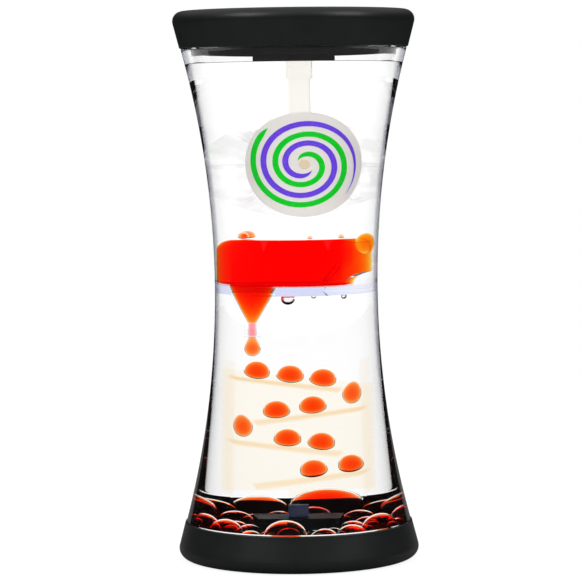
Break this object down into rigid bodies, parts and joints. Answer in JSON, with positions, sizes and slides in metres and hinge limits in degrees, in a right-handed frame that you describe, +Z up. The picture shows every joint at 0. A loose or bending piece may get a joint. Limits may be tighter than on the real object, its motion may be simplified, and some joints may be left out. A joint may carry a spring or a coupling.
{
  "type": "liquid motion timer",
  "caption": "Hourglass liquid timer: clear oil-filled shell between black caps, red drops on zigzag ramps, and a free-turning spiral wheel.",
  "frame": {"origin": "centre of the flat base, on the surface that it stands on", "axes": "+Z up along the axis of the hourglass; the spiral wheel's front and the zigzag channel face -Y"},
  "size_m": [0.063, 0.063, 0.143],
  "materials": {
    "black_plastic": "satin moulded",
    "black_plug": "moulded",
    "clear_acrylic": "clear, polished",
    "clear_partition": "clear, polished",
    "clear_cover": "clear, polished",
    "clear_wheel": "clear moulded",
    "natural_plastic": "translucent natural",
    "cream_plastic": "translucent cream",
    "milky_plastic": "milky",
    "green_ink": "printed",
    "violet_ink": "printed",
    "tan_plastic": "moulded",
    "seal_rubber": "soft",
    "red_liquid": "dyed liquid",
    "clear_oil": "clear liquid"
  },
  "bodies": {
    "housing": {"bottom_cap": "black_plastic", "top_cap": "black_plastic", "clear_shell": "clear_acrylic", "bottom_plug": "black_plug", "top_plug": "black_plug", "bottom_seal_ring": "seal_rubber", "top_seal_ring": "seal_rubber", "fill_stopper": "seal_rubber", "partition": "clear_partition", "spinner_hanger": "natural_plastic", "zigzag_tray": "cream_plastic", "zigzag_cover": "clear_cover", "zigzag_ramp_1": "cream_plastic", "zigzag_ramp_2": "cream_plastic", "zigzag_ramp_3": "cream_plastic", "zigzag_ramp_4": "cream_plastic", "red_pool": "red_liquid", "pendant_drop": "red_liquid", "ramp_drops": "red_liquid", "floor_drops": "red_liquid", "pool_beads": "red_liquid", "lower_oil": "clear_oil", "upper_oil": "clear_oil"},
    "spinner": {"spinner_axle": "tan_plastic", "front_paddle": "clear_wheel", "back_paddle": "clear_wheel", "front_disc": "milky_plastic", "back_disc": "clear_wheel", "front_green_spiral": "green_ink", "front_violet_spiral": "violet_ink"}
  },
  "joints": [
    {"name": "spinner_turn", "type": "hinge", "parent": "housing", "child": "spinner", "pos_m": [0.001, 0, 0.10375], "axis": [-0.0872, 0.9962, 0], "continuous": true}
  ]
}
